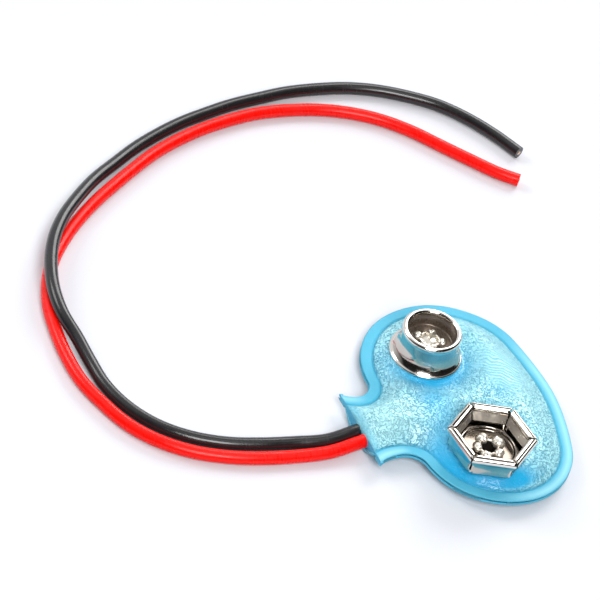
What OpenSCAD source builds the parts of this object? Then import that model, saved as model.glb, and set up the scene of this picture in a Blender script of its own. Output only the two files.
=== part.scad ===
// Nine-volt battery snap with two leads, in millimetres.
// Origin: on the floor, midway between the two terminals. X runs from the stud to the socket,
// the leads leave along -Y, and Z points up.

/* [Terminals] */
// distance between the axes of stud and socket
terminal_pitch = 12.7; // [12.4:0.1:13]
// thickness of the drawn sheet of both terminals
sheet_t = 0.3; // [0.25:0.01:0.35]

/* [Stud] */
// diameter over the rolled lip of the stud
stud_d = 5.6; // [5.2:0.05:5.8]
// height of the stud above the cover
stud_h = 3.2; // [2.9:0.05:3.6]
// width of the rolled lip
lip_w = 0.6; // [0.5:0.02:0.7]
// height of the straight land of the lip
lip_land = 0.5; // [0.4:0.05:0.7]
// depth of the waist below the lip
waist_depth = 0.25; // [0.15:0.01:0.3]
// reach of the collar past the lip's radius
collar_reach = 0.3; // [0.2:0.02:0.4]
// reach of the flange past the collar
flange_reach = 0.35; // [0.25:0.05:0.5]
// height of the floor inside the stud above the cover
stud_floor_h = 1.2; // [0:0.05:1.4]

/* [Socket] */
// distance over two opposite flats at the top
socket_flats = 7.4; // [7:0.05:7.8]
// height of the socket above the cover
socket_h = 2.5; // [2.2:0.05:2.9]
// width of the folded top band
fold_w = 0.6; // [0.56:0.02:0.7]
// how far each wall leans outward from foot to top
petal_lean = 0.25; // [0.1:0.01:0.4]
// how far each inner leaf leans in from top to tip
leaf_lean = 0.24; // [0.1:0.01:0.4]
// height of the leaf tips above the socket's foot
leaf_tip_h = 1.05; // [0.95:0.05:1.3]
// slit between two petals
slit_w = 0.2; // [0.16:0.02:0.4]
// turn of the hexagon about its own axis
socket_turn = 5; // [0:1:15]
// diameter of the dished floor
dish_d = 4.9; // [4.6:0.05:5.2]
// depth of the dished floor below the ledge around it
dish_depth = 0.35; // [0.3:0.01:0.5]

/* [Rivets] */
// outside diameter of the rivet's barrel
rivet_d = 2.0; // [1.8:0.05:2.2]
// wall of the barrel
rivet_wall = 0.25; // [0.2:0.01:0.3]
// diameter of the flat head under the tag
rivet_head_d = 3.6; // [3.2:0.05:4]
// thickness of the flat head
rivet_head_t = 0.3; // [0.25:0.01:0.35]
// thickness of the rolled star petals
star_t = 0.7; // [0.5:0.02:0.8]
// number of star petals
star_count = 5; // [4:1:8]
// gap around a barrel in its holes
rivet_gap = 0.03; // [0.02:0.005:0.05]

/* [Cover] */
// thickness of the vinyl sheet
skin_t = 0.4; // [0.35:0.01:0.45]
// thickness of each sheet where the weld has pressed it
weld_t = 0.3; // [0.25:0.01:0.35]
// width of the flat welded rim
weld_w = 1.2; // [0.9:0.05:1.3]
// depth of the pressed line along the inside of the rim
seam_depth = 0.08; // [0.05:0.01:0.12]
// height of the weld above the floor
weld_z = 1.15; // [1:0.01:1.25]
// reach of the cover past the stud's axis
stud_overhang = 6.95; // [6.4:0.05:7.4]
// reach of the cover past the socket's axis
socket_overhang = 5.45; // [5.2:0.05:6.2]
// radius of the cover's end round the stud
stud_end_r = 8.3; // [7.4:0.05:8.6]
// radius of the cover's end round the socket
socket_end_r = 7.5; // [7.2:0.05:7.8]
// how far the cover's middle lies behind the line of the terminals
cover_back = 2.1; // [1.8:0.05:2.3]
// radius of the long back edge
back_edge_r = 24; // [20:0.5:30]
// narrowest width of the neck
neck_w = 7.5; // [7.3:0.05:8.8]
// radius of the neck's hollow sides
neck_r = 1.8; // [1.6:0.05:3]
// distance from the line of the terminals to the cut end of the neck
neck_reach = 9.7; // [9:0.05:12]
// angle by which the neck's sides flare out again towards the cut end
neck_flare = 50; // [20:1:60]
// lift of the two tips at the cut end of the neck
tip_lift = 0.3; // [0:0.05:1.2]
// height of the soft dome between the terminals
crown_h = 0.45; // [0.2:0.05:0.6]

/* [Board and tags] */
// thickness of the fibre board
board_t = 1.0; // [0.9:0.05:1.1]
// reach of the board past each terminal's axis
board_end = 2.8; // [2.7:0.05:3.2]
// reach of the board in front of the terminals
board_front = 2.7; // [2.5:0.05:2.8]
// reach of the board behind the terminals
board_rear = 5.4; // [5:0.05:6]
// gap between the board's edge and the slope of the cover
board_gap = 0.35; // [0.3:0.05:0.5]
// thickness of the solder tags
tag_t = 0.3; // [0.25:0.01:0.35]
// diameter of the ring of a tag
tag_d = 4.4; // [4.2:0.05:4.8]
// width of a tag's tail
tail_w = 1.6; // [1.4:0.05:1.8]
// length of a tag's tail from the rivet's axis
tail_l = 4.4; // [4.2:0.05:4.6]
// direction of the tails, down from the line of the terminals
tail_angle = 42; // [36:1:46]

/* [Leads] */
// diameter of a lead over its insulation
lead_d = 1.25; // [1.1:0.01:1.3]
// diameter of the bundle of strands
core_d = 0.4; // [0.3:0.01:0.5]
// diameter of a solder joint
solder_d = 1.5; // [1.4:0.05:1.6]
// gap between a lead and the cover at the neck
lead_gap = 0.06; // [0.05:0.005:0.1]

/* [Hidden] */
eps = 0.01;

// heights of the stack inside the cover
rivet_r = rivet_d / 2;
hole_r = rivet_r + rivet_gap;
head_gap = max(0.2, core_d + 0.16 - rivet_head_t);
head_z = skin_t + head_gap;
tag_z = head_z + rivet_head_t;
board_z = tag_z + tag_t;
board_top = board_z + board_t;
cover_h = board_top + skin_t;
neck_h = 2 * skin_t + lead_d + 2 * lead_gap;
stud_x = -terminal_pitch / 2;
socket_x = terminal_pitch / 2;

// outline of the cover, made of five arcs that run into each other
stud_end = [stud_x - stud_overhang + stud_end_r, cover_back];
socket_end = [socket_x + socket_overhang - socket_end_r, cover_back];
neck_x = neck_w / 2 + neck_r;
function neck_centre(e, r, side) =
    [side * neck_x, e[1] - sqrt(pow(r + neck_r, 2) - pow(side * neck_x - e[0], 2))];
neck_right = neck_centre(socket_end, socket_end_r, 1);
neck_left = neck_centre(stud_end, stud_end_r, -1);
// centre of the back edge, from two equal-height end centres
span = socket_end[0] - stud_end[0];
back_a = back_edge_r - stud_end_r;
back_b = back_edge_r - socket_end_r;
back_x = (back_a * back_a - back_b * back_b + span * span) / (2 * span);
back_centre = [stud_end[0] + back_x, cover_back - sqrt(back_a * back_a - back_x * back_x)];

function angle_to(a, b) = atan2(b[1] - a[1], b[0] - a[0]);
function turned_up(a, low) = a < low ? a + 360 : a;

ARC_CENTRE = [neck_right, socket_end, back_centre, stud_end, neck_left];
ARC_R = [neck_r, socket_end_r, back_edge_r, stud_end_r, neck_r];
ARC_INSET = [1, -1, -1, -1, 1];
ARC_STEPS = [8, 24, 8, 24, 8];
function mouth_angle(d) = -asin(neck_r * sin(neck_flare) / (neck_r + d));
// stretch of the flared part of the neck, so that it ends at the cut
function neck_stretch(c) = (neck_reach + c[1]) / (neck_r * sin(neck_flare));
function arc_start(k, d) =
    k == 0 ? 180 - mouth_angle(d) :
    k == 1 ? angle_to(neck_right, socket_end) - 180 :
    k == 2 ? angle_to(back_centre, socket_end) :
    k == 3 ? angle_to(back_centre, stud_end) :
    angle_to(neck_left, stud_end);
function arc_stop(k, d) =
    k == 0 ? angle_to(neck_right, socket_end) :
    k == 1 ? angle_to(back_centre, socket_end) :
    k == 2 ? angle_to(back_centre, stud_end) :
    k == 3 ? angle_to(neck_left, stud_end) + 180 :
    mouth_angle(d);
// each sample is an arc's number and the share of that arc
SAMPLES = [for (k = [0:4])
           for (i = [0:ARC_STEPS[k] - (k < 4 ? 1 : 0)]) [k, i / ARC_STEPS[k]]];
n_out = len(SAMPLES);
n_neck = ARC_STEPS[0];

function sample_angle(q, d) = arc_start(q[0], d) + q[1] * (arc_stop(q[0], d) - arc_start(q[0], d));
function inset_point(q, d) =
    let (a = sample_angle(q, d), r = ARC_R[q[0]] + ARC_INSET[q[0]] * d, c = ARC_CENTRE[q[0]],
         flared = ARC_INSET[q[0]] > 0 && sin(a) < 0)
    c + r * [cos(a), sin(a) * (flared ? neck_stretch(c) : 1)];

// width of the slope between the rim and the board, at the front, the ends and the back
slope_front = max(0.8, socket_end_r - cover_back - weld_w - board_front - board_gap);
slope_end = max(0.8, min(stud_overhang, socket_overhang) - weld_w - board_end - board_gap);
slope_rear = max(0.8, socket_end_r + cover_back - weld_w - board_rear - board_gap);
function slope_w(q) =
    let (ny = ARC_INSET[q[0]] * sin(sample_angle(q, 0)))
    slope_end + (slope_front - slope_end) * pow(max(ny, 0), 2)
    + (slope_rear - slope_end) * pow(max(-ny, 0), 2);
// share of the full height along the neck, from its mouth to the body
function neck_share(q) = q[0] == 0 ? q[1] : q[0] == 4 ? 1 - q[1] : 1;
function full_top(q) = neck_h + (cover_h - neck_h) * sin(90 * neck_share(q));
// lift of the rim towards the tips, which fades out up the slope
function lift(q, s) = tip_lift * pow(1 - neck_share(q), 2) * (s <= 0 ? 1 : 1 - s);

SLOPE_STEPS = 6;
DOME_COLUMNS = 20;
function ease(t) = let (u = min(max(t, 0), 1)) u * u * (3 - 2 * u);
// dome of the cover, which leaves the feet of both terminals flat and fades out at the mouth
function crown(x, y) =
    crown_h * ease((norm([x - stud_x, y]) - stud_clear) / 1.8)
    * ease((norm([x - socket_x, y]) - socket_clear) / 1.8) * ease((y + neck_reach) / 3);
function rise(s) = sin(90 * s);
// one ring of points at station s, where 0 is the inside of the rim and 1 the edge of the flat part
function ring(s, z_rim, z_flat) =
    [for (q = SAMPLES)
     let (d = s < 0 ? weld_w * (1 + s) : weld_w + s * slope_w(q),
          flat = z_flat > weld_z ? z_flat + full_top(q) - cover_h : z_flat,
          p = inset_point(q, d),
          dome = z_flat > weld_z ? crown(p[0], p[1]) * ease(s) : 0)
     [p[0], p[1], lift(q, s) + dome + (s <= 0 ? z_rim : z_rim + (flat - z_rim) * rise(s))]];
// rows across the flat part, each from a point of the last ring to its partner on the other side
n_rows = (n_out - 1) / 2;
function across(z_flat, columns) =
    [for (i = [0:n_rows - 1])
     let (a = inset_point(SAMPLES[i], weld_w + slope_w(SAMPLES[i])),
          b = inset_point(SAMPLES[n_out - 1 - i], weld_w + slope_w(SAMPLES[n_out - 1 - i])),
          flat = z_flat > weld_z ? z_flat + full_top(SAMPLES[i]) - cover_h : z_flat)
     for (j = [1:1:columns - 1])
     let (x = a[0] + (b[0] - a[0]) * j / columns,
          y = a[1] + (b[1] - a[1]) * j / columns)
     [x, y, flat + (z_flat > weld_z ? crown(x, y) : 0)]];

// closed vinyl sheet between two families of rings that share the outer edge of the weld
module skin(z_rim, z_flat, z_flat_in, columns) {
    dir = z_flat > weld_z ? 1 : -1;
    seam = seam_depth * dir;
    share = 0.12 / weld_w;
    outer = concat(
        [ring(-1, weld_z, z_flat), ring(-1, z_rim - 0.06 * dir, z_flat),
         ring(-1 + share, z_rim, z_flat), ring(-2 * share, z_rim, z_flat),
         ring(-share, z_rim - seam, z_flat), ring(0, z_rim - seam, z_flat)],
        [for (i = [1:SLOPE_STEPS]) ring(i / SLOPE_STEPS, z_rim, z_flat)]);
    inner = concat(
        [ring(0, weld_z, z_flat_in)],
        [for (i = [1:SLOPE_STEPS]) ring(i / SLOPE_STEPS, weld_z, z_flat_in)]);
    rings = concat(outer, inner);
    n_rings = len(outer);
    m_rings = len(inner);
    points = concat([for (r = rings) for (p = r) p],
                    across(z_flat, columns), across(z_flat_in, columns));
    inner_at = n_rings * n_out;
    function strip(a, b) = [for (i = [0:n_out - 2])
        for (t = [[a + i, a + i + 1, b + i + 1], [a + i, b + i + 1, b + i]]) t];
    function turned(f) = [for (i = [len(f) - 1:-1:0]) f[i]];
    // rows inside the last ring that starts at index a, with their own points from index g
    function row_at(a, g, i, j) =
        j == 0 ? a + i : j == columns ? a + n_out - 1 - i : g + i * (columns - 1) + j - 1;
    function flat_part(a, g) = concat(
        [for (i = [0:n_rows - 2]) for (j = [0:columns - 1])
         for (t = [[row_at(a, g, i, j), row_at(a, g, i + 1, j), row_at(a, g, i + 1, j + 1)],
                   [row_at(a, g, i, j), row_at(a, g, i + 1, j + 1), row_at(a, g, i, j + 1)]]) t],
        [for (j = [0:columns - 1])
         [row_at(a, g, n_rows - 1, j), a + n_rows, row_at(a, g, n_rows - 1, j + 1)]]);
    out_grid = len(rings) * n_out;
    in_grid = out_grid + n_rows * (columns - 1);
    out_last = (n_rings - 1) * n_out;
    in_last = inner_at + (m_rings - 1) * n_out;
    out_faces = concat(
        [for (k = [0:n_rings - 2]) for (f = strip(k * n_out, (k + 1) * n_out)) f],
        flat_part(out_last, out_grid));
    in_faces = concat(
        strip(0, inner_at),
        [for (k = [0:m_rings - 2]) for (f = strip(inner_at + k * n_out, inner_at + (k + 1) * n_out)) f],
        flat_part(in_last, in_grid));
    // cut face at the mouth of the neck, from the rim up the slope on each side
    rim_at = n_rings - 1 - SLOPE_STEPS;
    function out_at(k, side) = k * n_out + side * (n_out - 1);
    function in_at(k, side) = inner_at + k * n_out + side * (n_out - 1);
    function cut(side) = concat(
        [for (k = [0:rim_at - 1]) [out_at(k + 1, side), out_at(k, side), in_at(0, side)]],
        [for (k = [0:SLOPE_STEPS - 1])
         for (t = [[out_at(rim_at + k + 1, side), out_at(rim_at + k, side), in_at(k, side)],
                   [out_at(rim_at + k + 1, side), in_at(k, side), in_at(k + 1, side)]]) t]);
    mouth = concat(
        cut(0),
        [for (j = [0:columns - 1])
         for (t = [[row_at(out_last, out_grid, 0, j), row_at(in_last, in_grid, 0, j),
                    row_at(in_last, in_grid, 0, j + 1)],
                   [row_at(out_last, out_grid, 0, j), row_at(in_last, in_grid, 0, j + 1),
                    row_at(out_last, out_grid, 0, j + 1)]]) t],
        [for (t = cut(1)) turned(t)]);
    faces = concat([for (f = out_faces) turned(f)], in_faces, mouth);
    polyhedron(points = points, faces = dir > 0 ? faces : [for (f = faces) turned(f)], convexity = 8);
}

module at_stud() {
    translate([stud_x, 0, 0])
        children();
}

module at_socket() {
    translate([socket_x, 0, 0])
        children();
}

module rivet_holes(z0, z1) {
    at_stud()
        translate([0, 0, z0])
            cylinder(r = hole_r, h = z1 - z0, $fn = 48);
    at_socket()
        translate([0, 0, z0])
            cylinder(r = hole_r, h = z1 - z0, $fn = 48);
}

module top_skin() {
    color("DeepSkyBlue")
        difference() {
            skin(weld_z + weld_t, cover_h, cover_h - skin_t, DOME_COLUMNS);
            rivet_holes(board_top - 0.5, cover_h + 0.5);
        }
}

module bottom_skin() {
    color("DodgerBlue")
        skin(weld_z - weld_t, 0, skin_t, 1);
}

module board_outline() {
    r = (board_front + board_rear) / 2;
    x0 = stud_x - board_end + r;
    x1 = socket_x + board_end - r;
    translate([x0, -board_front])
        square([x1 - x0, 2 * r]);
    for (x = [x0, x1])
        translate([x, board_rear - r])
            circle(r = r, $fn = 72);
}

module insulator_board() {
    color("SaddleBrown")
        difference() {
            translate([0, 0, board_z])
                linear_extrude(board_t)
                    board_outline();
            rivet_holes(board_z - 0.5, board_top + 0.5);
        }
}

// half section of the stud above the cover
stud_r = stud_d / 2;
collar_r = stud_r + collar_reach;
flange_r = collar_r + flange_reach;
stud_clear = flange_r + 1.1;
bore_r = stud_r - lip_w;
lip_r = lip_w / 2;
waist_top = stud_h - lip_r - lip_land;
waist_low = 2.4 * sheet_t;
waist_half = (waist_top - waist_low) / 2;
waist_r = (waist_half * waist_half + waist_depth * waist_depth) / (2 * waist_depth);
module stud_section() {
    difference() {
        union() {
            translate([bore_r, 0])
                square([flange_r - sheet_t / 2 - bore_r, sheet_t]);
            translate([hole_r, stud_floor_h])
                square([bore_r + lip_r - hole_r, sheet_t]);
            translate([flange_r - sheet_t / 2, sheet_t / 2])
                circle(d = sheet_t, $fn = 24);
            translate([bore_r, sheet_t / 2])
                square([collar_r - sheet_t / 2 - bore_r, 1.5 * sheet_t]);
            translate([collar_r - sheet_t / 2, 1.5 * sheet_t])
                circle(d = sheet_t, $fn = 24);
            translate([bore_r, sheet_t])
                square([lip_w, stud_h - lip_r - sheet_t]);
            translate([bore_r + lip_r, stud_h - lip_r])
                circle(r = lip_r, $fn = 32);
        }
        translate([hole_r - 1, stud_floor_h + sheet_t])
            square([bore_r - hole_r + 1, stud_h]);
        translate([stud_r + waist_r - waist_depth, (waist_top + waist_low) / 2])
            circle(r = waist_r, $fn = 96);
    }
}

module stud_terminal() {
    color("Silver")
        at_stud()
            translate([0, 0, cover_h])
                rotate_extrude($fn = 96)
                    stud_section();
}

// hexagonal socket above the cover
top_flat = socket_flats / 2;
foot_flat = top_flat - petal_lean;
socket_clear = foot_flat + 0.5;
fold_r = fold_w / 2;
ledge_z = dish_depth;
fold_z = socket_h - fold_r;
dish_r = dish_d / 2;
// folded sheet of one petal, seen from its side, with the foot on the ledge
module petal_section() {
    polygon([[foot_flat - sheet_t, ledge_z], [foot_flat, ledge_z],
             [top_flat, fold_z], [top_flat - sheet_t, fold_z]]);
    difference() {
        translate([top_flat - fold_r, fold_z])
            circle(r = fold_r, $fn = 32);
        translate([top_flat - fold_w - 1, fold_z - fold_w - 1])
            square([fold_w + 2, fold_w + 1]);
    }
    polygon([[top_flat - fold_w, fold_z], [top_flat - fold_w + 0.8 * sheet_t, fold_z],
             [top_flat - fold_w - leaf_lean + 0.8 * sheet_t, leaf_tip_h],
             [top_flat - fold_w - leaf_lean, leaf_tip_h]]);
}

module petal() {
    half = tan(30) * (top_flat + 1) - slit_w / 2;
    intersection() {
        rotate([90, 0, 0])
            translate([0, 0, -socket_flats])
                linear_extrude(2 * socket_flats)
                    petal_section();
        translate([0, 0, -1])
            linear_extrude(socket_h + 2)
                polygon([[1, -tan(30) + slit_w / 2], [top_flat + 1, -half],
                         [top_flat + 1, half], [1, tan(30) - slit_w / 2]]);
    }
}

module socket_floor() {
    difference() {
        union() {
            cylinder(r = dish_r + sheet_t, h = ledge_z + sheet_t, $fn = 64);
            translate([0, 0, ledge_z])
                rotate([0, 0, 30])
                    cylinder(r = (foot_flat - 0.05) / cos(30), h = sheet_t, $fn = 6);
        }
        translate([0, 0, sheet_t])
            cylinder(r = dish_r, h = 2, $fn = 64);
        translate([0, 0, -1])
            cylinder(r = hole_r, h = 3, $fn = 48);
    }
}

module socket_terminal() {
    color("Silver")
        at_socket()
            translate([0, 0, cover_h])
                rotate([0, 0, socket_turn - 30])
                    union() {
                        socket_floor();
                        for (i = [0:5])
                            rotate([0, 0, 60 * i])
                                petal();
                    }
}

// hollow rivet with a flat head below and a rolled star above
star_r = star_t / 2;
star_centre = rivet_r + star_r - rivet_wall / 2;
star_angle = 360 / star_count - 14;
module rivet(foot) {
    difference() {
        union() {
            translate([0, 0, head_z])
                cylinder(d = rivet_head_d, h = rivet_head_t, $fn = 48);
            translate([0, 0, head_z])
                cylinder(r = rivet_r, h = foot + star_r - head_z, $fn = 48);
            for (i = [0:star_count - 1])
                rotate([0, 0, i * 360 / star_count])
                    translate([0, 0, foot + star_r])
                        rotate_extrude(angle = star_angle, $fn = 64)
                            translate([star_centre, 0])
                                circle(r = star_r, $fn = 24);
        }
        translate([0, 0, head_z - 1])
            cylinder(r = rivet_r - rivet_wall, h = foot - head_z + star_t + 2, $fn = 48);
    }
}

module stud_rivet() {
    color("LightGray")
        at_stud()
            rotate([0, 0, 10])
                rivet(cover_h + stud_floor_h + sheet_t);
}

module socket_rivet() {
    color("LightGray")
        at_socket()
            rotate([0, 0, 40])
                rivet(cover_h + sheet_t);
}

// solder tag with its tail turned by angle a
module tag(a) {
    translate([0, 0, tag_z])
        linear_extrude(tag_t)
            difference() {
                union() {
                    circle(d = tag_d, $fn = 48);
                    rotate(a)
                        translate([0, -tail_w / 2])
                            square([tail_l - tail_w / 2, tail_w]);
                    rotate(a)
                        translate([tail_l - tail_w / 2, 0])
                            circle(d = tail_w, $fn = 32);
                }
                circle(r = hole_r, $fn = 48);
            }
}

module stud_tag() {
    color("Goldenrod")
        at_stud()
            tag(-tail_angle);
}

module socket_tag() {
    color("Goldenrod")
        at_socket()
            tag(tail_angle - 180);
}

// routes of the leads, from the stripped end inside the cover to the cut end
lead_z = skin_t + lead_d / 2 + lead_gap;
BLACK_ROUTE = [
    [-2.2, -4.9, lead_z], [-1.15, -6.4, lead_z], [-0.6, -8, lead_z], [-0.2, -10.3, lead_z],
    [-0.1, -13, 0.8], [-0.7, -16, 0.65], [-1.3, -19, 0.65], [-2.2, -22.1, 0.65], [-3.7, -25, 0.65],
    [-5.8, -27.4, 0.65], [-8.5, -29.1, 0.65], [-11.5, -30, 0.65], [-14.4, -30.2, 0.75],
    [-17.2, -30.4, 1.15], [-20, -30.8, 1.7], [-22.9, -30.5, 2], [-25.9, -29.5, 2], [-28.8, -28, 2],
    [-31.5, -25.9, 1.85], [-34, -23.3, 1.5], [-36.4, -20.4, 1.05], [-38.3, -17.4, 0.75],
    [-40, -14.4, 0.65], [-41.3, -11.4, 0.65], [-42.3, -8.5, 0.65], [-43, -5.6, 0.65],
    [-43.6, -2.5, 0.65], [-43.9, 0.6, 0.65], [-44.1, 3.8, 0.65], [-43.9, 7, 0.65],
    [-43.4, 10.2, 0.65], [-42.4, 13.2, 0.65], [-40.9, 16, 0.65], [-39, 18.6, 0.65],
    [-36.5, 20.7, 0.65], [-33.8, 22.3, 0.65], [-30.9, 23.6, 0.65]];
RED_ROUTE = [
    [2.05, -4.7, lead_z], [1.2, -6.2, lead_z], [0.75, -7.8, lead_z], [1.12, -10.2, lead_z],
    [1.3, -13.2, 0.8], [0.9, -16.4, 0.65], [0.3, -19.6, 0.65], [-0.6, -22.6, 0.65], [-2, -25.5, 0.65],
    [-4, -28, 0.65], [-6.5, -29.9, 0.65], [-9.5, -31.1, 0.65], [-12.6, -31.9, 0.65], [-15.8, -32, 0.65],
    [-19, -31.7, 0.65], [-22.1, -31.1, 0.65], [-25.1, -29.9, 0.65], [-27.7, -28.2, 0.65],
    [-30.1, -26, 0.65], [-32.2, -23.6, 0.65], [-34.1, -21, 0.65], [-35.8, -18.3, 0.65],
    [-37.4, -15.6, 0.65], [-38.9, -12.8, 0.65], [-40.1, -9.8, 0.65], [-41, -6.8, 0.65],
    [-41.6, -3.6, 0.65], [-41.9, -0.5, 0.65], [-41.7, 2.7, 0.65], [-41.1, 5.9, 0.65], [-40, 8.9, 0.65],
    [-38.4, 11.6, 0.65], [-36.2, 14, 0.65], [-33.7, 16, 0.65], [-31.2, 18, 0.65], [-28.8, 20, 0.65],
    [-27.3, 21.7, 0.65]];

function unit(v) = v / norm(v);
function heading(route, i) =
    unit(route[min(i + 1, len(route) - 1)] - route[max(i - 1, 0)]);
SIDES = 8;
// round tube swept along a route
module tube(route, d) {
    n = len(route);
    points = [for (i = [0:n - 1])
              let (t = heading(route, i), side = unit(cross(t, [0, 0, 1])), up = cross(side, t))
              for (k = [0:SIDES - 1])
              route[i] + d / 2 * (cos(360 * k / SIDES) * side + sin(360 * k / SIDES) * up)];
    walls = [for (i = [0:n - 2])
             for (k = [0:SIDES - 1])
             let (a = i * SIDES + k, b = i * SIDES + (k + 1) % SIDES)
             for (t = [[a, b, b + SIDES], [a, b + SIDES, a + SIDES]]) t];
    first = [for (k = [SIDES - 1:-1:0]) k];
    last = [for (k = [0:SIDES - 1]) (n - 1) * SIDES + k];
    polyhedron(points = points, faces = concat([first], walls, [last]), convexity = 10);
}

module black_lead() {
    color("DimGray")
        tube(BLACK_ROUTE, lead_d);
}

module red_lead() {
    color("Red")
        tube(RED_ROUTE, lead_d);
}

// middle of a tag's tail end, where the strands are soldered on
core_gap = 0.02;
core_z = tag_z - core_d / 2 - 0.05;
function joint_at(x, a) = [x + (tail_l - tail_w / 2) * cos(a), (tail_l - tail_w / 2) * sin(a), core_z];
black_joint = joint_at(stud_x, -tail_angle);
red_joint = joint_at(socket_x, tail_angle - 180);
function level_to(route, joint) = unit([route[0][0] - joint[0], route[0][1] - joint[1], 0]);
function core_route(route, joint) =
    let (p = route[0], out = unit(route[0] - route[1]),
         q = p + 0.5 * out, r = [joint[0], joint[1], core_z], level = level_to(route, joint))
    [p, p + 0.25 * out, [q[0], q[1], (2 * p[2] + core_z) / 3] + 0.3 * out,
     r + (tail_w / 2 + 0.35) * level, r - 0.35 * level];

module black_strands() {
    color("Peru")
        tube(core_route(BLACK_ROUTE, black_joint), core_d);
}

module red_strands() {
    color("Peru")
        tube(core_route(RED_ROUTE, red_joint), core_d);
}

// drop of solder under a tail, with a blind hole that the strands fill
module solder(joint, route) {
    drop_h = tag_z - skin_t - 0.04;
    ball_r = (solder_d * solder_d / 4 + drop_h * drop_h) / (2 * drop_h);
    level = level_to(route, joint);
    difference() {
        intersection() {
            translate([joint[0], joint[1], tag_z - drop_h + ball_r])
                sphere(r = ball_r, $fn = 48);
            translate([joint[0], joint[1], tag_z - drop_h - 1])
                cylinder(d = 3 * solder_d, h = drop_h + 1, $fn = 48);
        }
        translate(joint - (0.35 + core_gap) * level)
            rotate([0, 0, atan2(level[1], level[0])])
                rotate([0, 90, 0])
                    cylinder(r = core_d / 2 + core_gap, h = 2 * solder_d, $fn = 32);
    }
}

module black_solder() {
    color("LightSlateGray")
        solder(black_joint, BLACK_ROUTE);
}

module red_solder() {
    color("LightSlateGray")
        solder(red_joint, RED_ROUTE);
}

top_skin();
bottom_skin();
insulator_board();
stud_terminal();
socket_terminal();
stud_rivet();
socket_rivet();
stud_tag();
socket_tag();
black_lead();
red_lead();
black_strands();
red_strands();
black_solder();
red_solder();
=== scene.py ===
# %% [markdown]
# # A soft battery snap, drawn over its CAD frame
# The real object is a small pouch of blue vinyl with two plated terminals on top and two leads
# that leave at the neck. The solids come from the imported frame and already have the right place
# and size. This lesson gives each piece the shape of its material: soft sheet, folded metal,
# rolled rivets and extruded insulation.

# %% Load the frame and keep its box
import math

import bmesh
import bpy
import numpy as np
from mathutils import Matrix, Vector, geometry


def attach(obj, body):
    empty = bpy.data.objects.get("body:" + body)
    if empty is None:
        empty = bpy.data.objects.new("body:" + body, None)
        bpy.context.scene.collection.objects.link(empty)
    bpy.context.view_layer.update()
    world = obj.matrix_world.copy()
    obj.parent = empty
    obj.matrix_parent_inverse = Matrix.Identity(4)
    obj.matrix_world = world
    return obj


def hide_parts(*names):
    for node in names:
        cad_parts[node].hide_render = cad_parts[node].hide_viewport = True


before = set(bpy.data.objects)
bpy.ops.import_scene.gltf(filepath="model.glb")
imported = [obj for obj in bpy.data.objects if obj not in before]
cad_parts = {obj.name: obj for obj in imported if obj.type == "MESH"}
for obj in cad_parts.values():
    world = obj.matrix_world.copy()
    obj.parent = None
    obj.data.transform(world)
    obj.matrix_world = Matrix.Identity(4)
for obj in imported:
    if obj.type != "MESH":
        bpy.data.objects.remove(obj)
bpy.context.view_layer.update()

MM = 0.001

# %% [markdown]
# ## Camera
# A long lens far away keeps the small object free of strong perspective. The viewing direction is
# given by azimuth, elevation and roll; building the camera's matrix from those three angles is
# clearer than turning Euler angles by hand, and it keeps the roll apart from the rest.

# %% Set the camera
AZIMUTH, ELEVATION, ROLL = math.radians(53.1), math.radians(42.8), math.radians(16.5)
AIM = Vector((-17.9, -6.9, -0.1)) * MM
DISTANCE = 380 * MM
LENS = 243.7

def view_axes(azimuth, elevation):
    """Unit vectors to the right, up and back from a view, as seen from behind the camera."""
    back = Vector((math.sin(azimuth) * math.cos(elevation),
                   -math.cos(azimuth) * math.cos(elevation), math.sin(elevation)))
    right = Vector((math.cos(azimuth), math.sin(azimuth), 0))
    return right, back.cross(right), back

right, up, back = view_axes(AZIMUTH, ELEVATION)
camera_data = bpy.data.cameras.new("photo_camera")
camera_data.lens = LENS
camera_data.sensor_width = 36
camera_data.sensor_fit = "HORIZONTAL"
camera_data.clip_start = 0.01
camera = bpy.data.objects.new("photo_camera", camera_data)
bpy.context.scene.collection.objects.link(camera)
axis_x = math.cos(ROLL) * right + math.sin(ROLL) * up
axis_y = -math.sin(ROLL) * right + math.cos(ROLL) * up
turn = Matrix((axis_x, axis_y, back)).transposed().to_4x4()
camera.matrix_world = Matrix.Translation(AIM + back * DISTANCE) @ turn
bpy.context.scene.camera = camera
print("camera at", [round(v / MM) for v in camera.matrix_world.translation])

# %% [markdown]
# ## Small helpers
# Every piece below is a mesh made from lists of points and faces. One helper turns such lists into
# an object, smooths it and lets it ride on the only body of this frame. Tubes, cups and petals are all
# rows of points that run once round, so two more helpers give the faces between rows and at both ends.

# %% Mesh helpers
def new_piece(name, points_mm, faces, slot, replaced=(), smooth=True, sharp_angle=None):
    """A mesh object from points in millimetres, riding on the root body."""
    mesh = bpy.data.meshes.new(name)
    mesh.from_pydata([tuple(float(v) * MM for v in p) for p in points_mm], [], faces)
    mesh.validate()
    build = bmesh.new()
    build.from_mesh(mesh)
    bmesh.ops.recalc_face_normals(build, faces=build.faces)
    build.to_mesh(mesh)
    build.free()
    if smooth:
        mesh.shade_smooth()
    if sharp_angle is not None:
        mesh.set_sharp_from_angle(angle=math.radians(sharp_angle))
    piece = bpy.data.objects.new(name, mesh)
    bpy.context.scene.collection.objects.link(piece)
    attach(piece, "root")
    if replaced:
        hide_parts(*replaced)
    print(name, "has", len(mesh.vertices), "points and", len(mesh.polygons), "faces")
    return piece

def row_faces(rows, sides, closed=False):
    """Four-sided faces between rows of points; closed joins the last row to the first."""
    return [(i * sides + k, i * sides + (k + 1) % sides,
             (i + 1) % rows * sides + (k + 1) % sides, (i + 1) % rows * sides + k)
            for i in range(rows if closed else rows - 1) for k in range(sides)]

def end_caps(rows, sides):
    """One flat face at each end of the rows."""
    return [tuple(range(sides))[::-1], tuple((rows - 1) * sides + k for k in range(sides))]

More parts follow.
